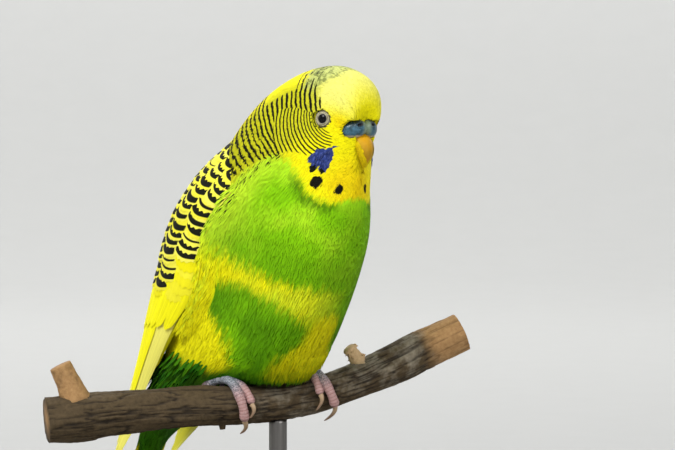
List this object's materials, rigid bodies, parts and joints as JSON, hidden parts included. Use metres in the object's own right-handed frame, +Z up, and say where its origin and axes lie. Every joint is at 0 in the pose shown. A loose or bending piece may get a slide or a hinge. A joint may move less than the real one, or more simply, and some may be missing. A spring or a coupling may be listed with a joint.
{
  "type": "budgerigar",
  "caption": "Life-size still model of an adult budgerigar perched upright on a short cut branch, wings folded and long tail hanging, on a plain round display stand.",
  "frame": {"origin": "centre of the underside of the stand's round base", "axes": "+Z up, the bird faces -Y, +X is the bird's left"},
  "size_m": [0.1286, 0.1358, 0.1715],
  "materials": {
    "head_feathers": "barbed feather, matt",
    "neck_feathers": "barbed feather, matt",
    "body_feathers": "barbed feather, soft sheen",
    "leg_feathers": "barbed feather, soft",
    "wing_feathers": "smooth vane, soft sheen",
    "tail_feathers": "smooth vane, soft sheen",
    "eye": "glossy",
    "eyelid": "bare skin, matt",
    "cere": "bare skin, waxy",
    "bill": "horn, satin",
    "foot_skin": "scaled skin, matt",
    "claw": "horn, satin",
    "bark": "rough bark",
    "stand_wood": "dark stained, satin",
    "stand_metal": "dark satin"
  },
  "bodies": {
    "root": {"bill_upper": "bill", "bill_lower": "bill", "cere": "cere", "claw_outer_front_left": "claw", "claw_outer_front_right": "claw", "claw_inner_front_left": "claw", "claw_inner_front_right": "claw", "claw_outer_back_left": "claw", "claw_outer_back_right": "claw", "claw_inner_back_left": "claw", "claw_inner_back_right": "claw", "eye_left": "eye", "eyelid_left": "eyelid", "foot_left": "foot_skin", "leg_left": "leg_feathers", "wing_left": "wing_feathers", "eye_right": "eye", "eyelid_right": "eyelid", "foot_right": "foot_skin", "leg_right": "leg_feathers", "wing_right": "wing_feathers", "head": "head_feathers", "neck": "neck_feathers", "torso": "body_feathers", "tail": "tail_feathers", "perch": "bark", "stand_base": "stand_wood", "stand_rod": "stand_metal"}
  },
  "joints": []
}
